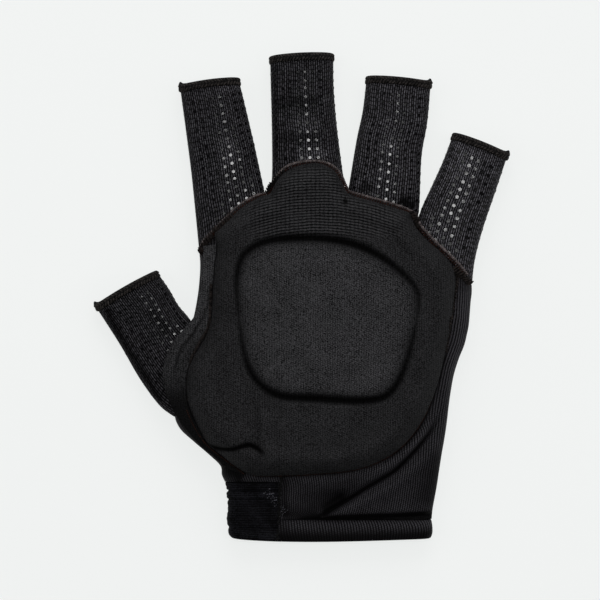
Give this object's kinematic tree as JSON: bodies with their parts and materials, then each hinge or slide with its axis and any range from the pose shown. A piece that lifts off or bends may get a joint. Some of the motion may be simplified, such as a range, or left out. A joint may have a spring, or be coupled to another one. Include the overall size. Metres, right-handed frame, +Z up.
{
  "type": "hockey glove",
  "caption": "Half-finger padded glove lying palm down: knitted finger sleeves, a moulded foam pad with a cushion on the back of the hand, and a fabric body open at the wrist.",
  "frame": {"origin": "on the flat underside of the palm, below the middle of the pad's cushion", "axes": "+Y from the wrist to the fingertips, +X towards the little finger, +Z up out of the back of the hand"},
  "size_m": [0.1655, 0.1945, 0.0242],
  "materials": {
    "body_fabric": "smooth black stretch knit with a faint sheen",
    "pad_fabric": "fine matt black knit over moulded foam",
    "sleeve_knit": "ribbed black knit with rows of grip dots",
    "hem_thread": "black overlock thread",
    "elastic": "black woven elastic with cross ribs",
    "grip_dot": "glossy dark silicone dots"
  },
  "bodies": {
    "root": {"back_panel": "body_fabric", "palm_panel": "body_fabric", "wrist_elastic": "elastic", "hem_band": "body_fabric", "sleeve_index": "sleeve_knit", "tip_hem_index": "hem_thread", "sleeve_middle": "sleeve_knit", "tip_hem_middle": "hem_thread", "sleeve_ring": "sleeve_knit", "tip_hem_ring": "hem_thread", "sleeve_little": "sleeve_knit", "tip_hem_little": "hem_thread", "sleeve_thumb": "sleeve_knit", "tip_hem_thumb": "hem_thread", "back_pad": "pad_fabric", "thumb_side_panel": "body_fabric"}
  },
  "joints": []
}
